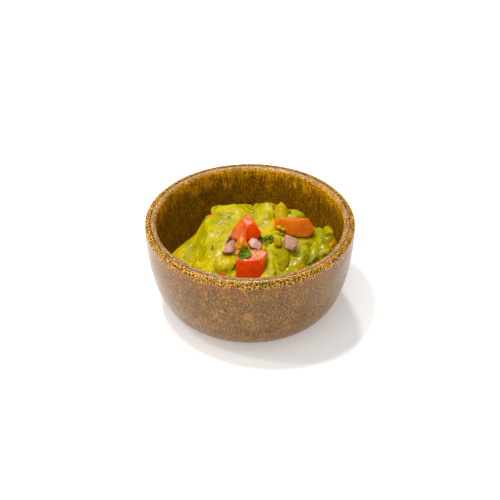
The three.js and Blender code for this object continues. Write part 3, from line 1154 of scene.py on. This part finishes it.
# Stems: radius, lift above what they lie on, then across and back of each point
STEMS = [
    (0.8, 1.1, (14.2, -5.2), (16.2, -6.3), (18.4, -7.4)),
    (0.8, 0.6, (13.4, -6.6), (15.4, -7.8), (17.4, -8.8)),
    (0.3, 0.25, (3.0, -26.4), (3.4, -29.8), (3.9, -33.0)),
    (0.45, 0.3, (-4.3, -21.6), (-4.3, -23.2), (-4.2, -25.0)),
    (0.35, 0.3, (-19.6, -18.2), (-19.2, -16.6), (-17.8, -15.4)),
    (0.35, 0.5, (5.6, -14.8), (7.4, -15.6), (9.0, -17.2)),
    (0.3, 0.6, (8.0, -10.6), (9.6, -12.6), (10.0, -15.0)),
]


# ---- Settings -----------------------------------------------------------------------------------


class GUAC_PG_bowl(bpy.types.PropertyGroup):
    """Glaze bands and colours."""

    unevenness: FloatProperty(
        name="Unevenness", description="How far the wall wanders from round", default=0.00022, unit="LENGTH"
    )
    gold_band: FloatProperty(
        name="Gold band", description="Depth of the speckled gold band", default=0.0058, unit="LENGTH"
    )
    drips: FloatProperty(
        name="Drips", description="Depth that the orange fade reaches outside", default=0.015, unit="LENGTH"
    )
    orange_runs: FloatProperty(
        name="Orange runs", description="Depth of the orange runs inside", default=0.0095, unit="LENGTH"
    )
    wall: tint("Wall", "Brown outside wall", 0x8C6228)
    fade: tint("Fade", "Orange brown below the gold band", 0xAA6C2C)
    gold: tint("Gold", "Gold band under the lip", 0xDF962A)
    iron: tint("Iron", "Dark line on the lip", 0x30220F)
    lip: tint("Lip", "Tan top of the lip", 0xB48654)
    inside: tint("Inside", "Dark olive brown inside", 0x835804)
    orange: tint("Orange", "Runs below the lip inside", 0xE6900C)
    spot: tint("Spot", "Iron spot on the front", 0xBC783E)


class GUAC_PG_food(bpy.types.PropertyGroup):
    """The mash's stirring and the food's colours."""

    stirring: FloatProperty(
        name="Stirring", description="Height of the folds and smears", default=1.0, min=0, max=2
    )
    mash: tint("Mash", "Mashed avocado", 0xC0AE02)
    mash_green: tint("Green mash", "Greener patches", 0x9C9600)
    mash_ripe: tint("Ripe mash", "Riper patches", 0xCEB406)
    juice: tint("Juice", "Tomato juice stirred into the mash", 0xC68A10)
    # Painted shade laid into the mash's hollows
    mash_hollow_shade: tint("Deep mash", "Hollows of the mash", 0x6E6600)
    tomato_skin: tint("Tomato skin", "Skin and wet flesh", 0xCC3C02)
    tomato_flesh: tint("Tomato flesh", "Cut flesh", 0xDC6C0C)
    tomato_pale: tint("Pale tomato", "Paler veins in cut flesh", 0xD27626)
    onion_flesh: tint("Onion flesh", "Pale flesh", 0xC4957E)
    onion_pink: tint("Pink onion", "Flesh tinged by the skin", 0xB07C74)
    onion_rind: tint("Onion skin", "Purple skin edge", 0x6E1628)
    avocado_core: tint("Avocado core", "Yellow flesh", 0xBC9C00)
    # Green flesh under the skin, and painted shade on the back piece's right facet
    avocado_edge_and_shade: tint("Avocado edge", "Green flesh under the skin", 0x968800)
    leaf: tint("Leaf", "Cilantro leaf", 0x3E5400)
    stem: tint("Stem", "Cilantro stem", 0x988E08)


class GUAC_PG_stage(bpy.types.PropertyGroup):
    """Camera and light."""

    distance: FloatProperty(
        name="Distance", description="Camera to aim point", default=0.6716, unit="LENGTH"
    )
    elevation: FloatProperty(
        name="Elevation", description="Camera above the horizon", default=math.radians(36.3), subtype="ANGLE"
    )
    aim_height: FloatProperty(
        name="Aim height", description="Aim point above the table", default=0.032, unit="LENGTH"
    )
    lens: FloatProperty(name="Lens", description="Focal length in millimetres", default=91.0)
    key_power: FloatProperty(
        name="Key", description="Small softbox nearly overhead", default=4.5, unit="POWER"
    )
    top_power: FloatProperty(name="Top", description="Broad softbox overhead", default=1.0, unit="POWER")
    spark_power: FloatProperty(
        name="Sparks", description="Small lamps for wet glints", default=1.0, unit="POWER"
    )
    side_power: FloatProperty(
        name="Sides", description="Softboxes at the sides", default=1.0, unit="POWER"
    )
    fill_power: FloatProperty(
        name="Fill", description="Softbox over the camera", default=1.5, unit="POWER"
    )
    ambient: FloatProperty(name="Ambient", description="Light from all round", default=0.28)
    backdrop: FloatProperty(name="Backdrop", description="How bright the room is to the camera", default=0.9)
    mirrored: FloatProperty(name="Mirrored", description="How bright the room is in gloss", default=0.05)
    floor_glow: FloatProperty(name="Floor glow", description="Light from the table itself", default=0.3)
    floor_colour: tint("Floor", "Table surface", 0xFBFAF8)


# ---- Operators ----------------------------------------------------------------------------------


class GUAC_OT_bowl(bpy.types.Operator):
    """Make the glazed bowl"""

    bl_idname = "guac.bowl"
    bl_label = "Bowl"

    def execute(self, context):
        settings = context.scene.guac_bowl
        bowl = solid_from(bowl_mesh(settings), "Bowl", glaze_material(settings))
        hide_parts("bowl")
        return {"FINISHED"}


class GUAC_OT_mash(bpy.types.Operator):
    """Make the heap of mashed avocado"""

    bl_idname = "guac.mash"
    bl_label = "Guacamole"

    def execute(self, context):
        settings = context.scene.guac_food
        mash = solid_from(mash_mesh(settings), "Guacamole_mash", mash_material(settings))
        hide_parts("guacamole")
        return {"FINISHED"}


def cut_pieces(shares, attribute, cut, material):
    """Makes one food's cut pieces in turn, each with the attribute that its material reads."""
    for name, share in shares.items():
        bm = cut_piece(name, *cut)
        painted(bm, attribute, share)
        piece = solid_from(bm, name.capitalize(), material)
        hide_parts(name)
        yield piece


class GUAC_OT_tomatoes(bpy.types.Operator):
    """Make the diced tomato"""

    bl_idname = "guac.tomatoes"
    bl_label = "Tomato"

    def execute(self, context):
        material = tomato_material(context.scene.guac_food)
        for piece in cut_pieces(FLESH, "flesh", (0.7, 0.3, 2, (6, 0.3), (2.2, 0.08)), material):
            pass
        bits = sunk_bits(TOMATO_BITS)
        toned(bits, "flesh", 0.9)
        solid_from(bits, "Tomato_bits", material)
        return {"FINISHED"}


class GUAC_OT_onions(bpy.types.Operator):
    """Make the diced red onion"""

    bl_idname = "guac.onions"
    bl_label = "Red onion"

    def execute(self, context):
        material = onion_material(context.scene.guac_food)
        for piece in cut_pieces(RIND, "rind", (0.3, 0.22, 1, (4.0, 0.2)), material):
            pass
        bits = sunk_bits(ONION_BITS)
        toned(bits, "rind", 0.95)
        solid_from(bits, "Onion_bits", material)
        return {"FINISHED"}


class GUAC_OT_avocado(bpy.types.Operator):
    """Make the diced avocado"""

    bl_idname = "guac.avocado"
    bl_label = "Avocado"

    def execute(self, context):
        material = avocado_material(context.scene.guac_food)
        for piece in cut_pieces(GREEN_AND_SHADE, "green", (0.9, 0.3, 3, (4, 0.4), (1.3, 0.1)), material):
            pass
        return {"FINISHED"}


class GUAC_OT_cilantro(bpy.types.Operator):
    """Make the chopped cilantro that lies on the mash and the toppings"""

    bl_idname = "guac.cilantro"
    bl_label = "Cilantro"

    def execute(self, context):
        material = cilantro_material(context.scene.guac_food)
        names = ("Guacamole_mash", "Tomato_front", "Tomato_sliver", "Tomato_right", "Tomato_left")
        tree = ground([bpy.data.objects[name].data for name in names])
        leaves = bmesh.new()
        for x, y, lift, lean, heading, length, width, lobes, curl in LEAVES:
            place, normal = landing(tree, x, y)
            normal = normal + Vector((0, -lean, 0))
            add_leaf(leaves, place + Vector((0, 0, lift)), normal, heading, length, width, lobes, curl)
        toned(leaves, "pale", 0.06)
        stems = bmesh.new()
        for radius, lift, *points in STEMS:
            places = [landing(tree, x, y)[0] + Vector((0, 0, lift)) for x, y in points]
            add_stem(stems, places, radius)
        toned(stems, "pale", 1)
        rng = random.Random(5)
        flecks = bmesh.new()
        mash = ground([bpy.data.objects["Guacamole_mash"].data])
        made = 0
        while made < FLECK_COUNT:
            x = rng.uniform(-44, 44)
            y = rng.uniform(-44, 34)
            found = landing(mash, x, y) if math.hypot(x, y) < 44 else None
            if found:
                place, normal = found
                size = rng.uniform(0.7, 1.8)
                heading = rng.uniform(0, 360)
                width = size * rng.uniform(0.3, 0.7)
                add_leaf(flecks, place, normal, heading, size, width, 2, 0.2, FLECK_GRID)
                made += 1
        toned(flecks, "pale", 0.35)
        for bm, name in ((leaves, "Cilantro_leaves"), (stems, "Cilantro_stems"), (flecks, "Cilantro_flecks")):
            piece = solid_from(bm, name, material)
        return {"FINISHED"}


# What the lamps point at, and the lamps: name, place and size in metres, the setting for their power, how
# much of it they take, and whether they show in glossy surfaces
LIT_PLACE = (0.0, 0.0, 0.04)
LAMPS = [
    ("Key", (-0.2, 0.04, 0.88), 0.09, "key_power", 1.0, True),
    ("Top", (-0.1, -0.25, 0.9), 0.4, "top_power", 1.0, False),
    ("Spark_left", (-0.5, -0.05, 0.72), 0.05, "spark_power", 1.0, True),
    ("Spark_back", (0.0, 0.45, 0.76), 0.08, "spark_power", 2.2, True),
    ("Left", (-0.8, 0.1, 0.4), 0.45, "side_power", 1.0, True),
    ("Right", (0.8, 0.1, 0.45), 0.45, "side_power", 0.1, False),
    ("Fill", (-0.15, -0.8, 0.7), 0.6, "fill_power", 1.0, False),
]


def softbox(name, location, size, power, glossy):
    """A square area light aimed at the bowl, in metres and watts."""
    lamp = bpy.data.lights.new(name, "AREA")
    lamp.size = size
    lamp.energy = power
    light = bpy.data.objects.new(name, lamp)
    light.location = location
    light.rotation_euler = (Vector(LIT_PLACE) - Vector(location)).to_track_quat("-Z", "Y").to_euler()
    light.visible_glossy = glossy
    bpy.context.scene.collection.objects.link(light)


class GUAC_OT_stage(bpy.types.Operator):
    """Set the table, the lights and the camera"""

    bl_idname = "guac.stage"
    bl_label = "Table, lights and camera"

    def execute(self, context):
        settings = context.scene.guac_stage
        scene = context.scene
        scene.view_settings.view_transform = "Standard"

        bm = bmesh.new()
        bmesh.ops.create_grid(bm, x_segments=4, y_segments=4, size=3.0)
        mesh = bpy.data.meshes.new("Table")
        bm.to_mesh(mesh)
        bm.free()
        table = bpy.data.objects.new("Table", mesh)
        scene.collection.objects.link(table)
        finish = {
            "Base Color": (*settings.floor_colour, 1.0),
            "Roughness": 0.6,
            "Emission Color": (1, 1, 1, 1),
            "Emission Strength": settings.floor_glow,
        }
        mesh.materials.append(new_material("White_table", finish)[0])

        world = bpy.data.worlds.new("Studio")
        world.use_nodes = True
        tree = world.node_tree
        background = tree.nodes["Background"]
        background.inputs["Color"].default_value = (1, 1, 1, 1)
        ray = add(tree, "ShaderNodeLightPath")
        seen = add(
            tree,
            "ShaderNodeMix",
            {"Factor": ray.outputs["Is Camera Ray"], "A": settings.ambient, "B": settings.backdrop},
        )
        mirrored = add(
            tree,
            "ShaderNodeMix",
            {"Factor": ray.outputs["Is Glossy Ray"], "A": seen.outputs[0], "B": settings.mirrored},
        )
        tree.links.new(mirrored.outputs[0], background.inputs["Strength"])
        scene.world = world

        for name, location, size, setting, share, glossy in LAMPS:
            softbox(name, location, size, getattr(settings, setting) * share, glossy)

        lens = bpy.data.cameras.new("Camera")
        lens.sensor_width = 36
        lens.lens = settings.lens
        camera = bpy.data.objects.new("Camera", lens)
        aim = Vector((0, 0, settings.aim_height))
        away = Vector((0, -math.cos(settings.elevation), math.sin(settings.elevation)))
        camera.location = aim + away * settings.distance
        camera.rotation_euler = (-away).to_track_quat("-Z", "Y").to_euler()
        scene.collection.objects.link(camera)
        scene.camera = camera
        return {"FINISHED"}


class GUAC_PT_panel(bpy.types.Panel):
    """The maker's panel in the 3D view's sidebar"""

    bl_idname = "GUAC_PT_panel"
    bl_label = "Guacamole bowl"
    bl_space_type = "VIEW_3D"
    bl_region_type = "UI"
    bl_category = "Guacamole"

    def draw(self, context):
        for operator in OPERATORS:
            self.layout.operator(operator.bl_idname)


OPERATORS = (
    GUAC_OT_stage,
    GUAC_OT_bowl,
    GUAC_OT_mash,
    GUAC_OT_tomatoes,
    GUAC_OT_onions,
    GUAC_OT_avocado,
    GUAC_OT_cilantro,
)
GROUPS = {"guac_bowl": GUAC_PG_bowl, "guac_food": GUAC_PG_food, "guac_stage": GUAC_PG_stage}


def register():
    """Adds the classes and the scene's settings."""
    for cls in (*GROUPS.values(), *OPERATORS, GUAC_PT_panel):
        bpy.utils.register_class(cls)
    for name, group in GROUPS.items():
        setattr(bpy.types.Scene, name, PointerProperty(type=group))


def unregister():
    """Takes them away again."""
    for name in GROUPS:
        delattr(bpy.types.Scene, name)
    for cls in (GUAC_PT_panel, *OPERATORS, *GROUPS.values()):
        bpy.utils.unregister_class(cls)


def main():
    """Makes every piece in order."""
    register()
    bpy.ops.guac.stage()
    bpy.ops.guac.bowl()
    bpy.ops.guac.mash()
    bpy.ops.guac.tomatoes()
    bpy.ops.guac.onions()
    bpy.ops.guac.avocado()
    bpy.ops.guac.cilantro()


if __name__ == "__main__":
    main()
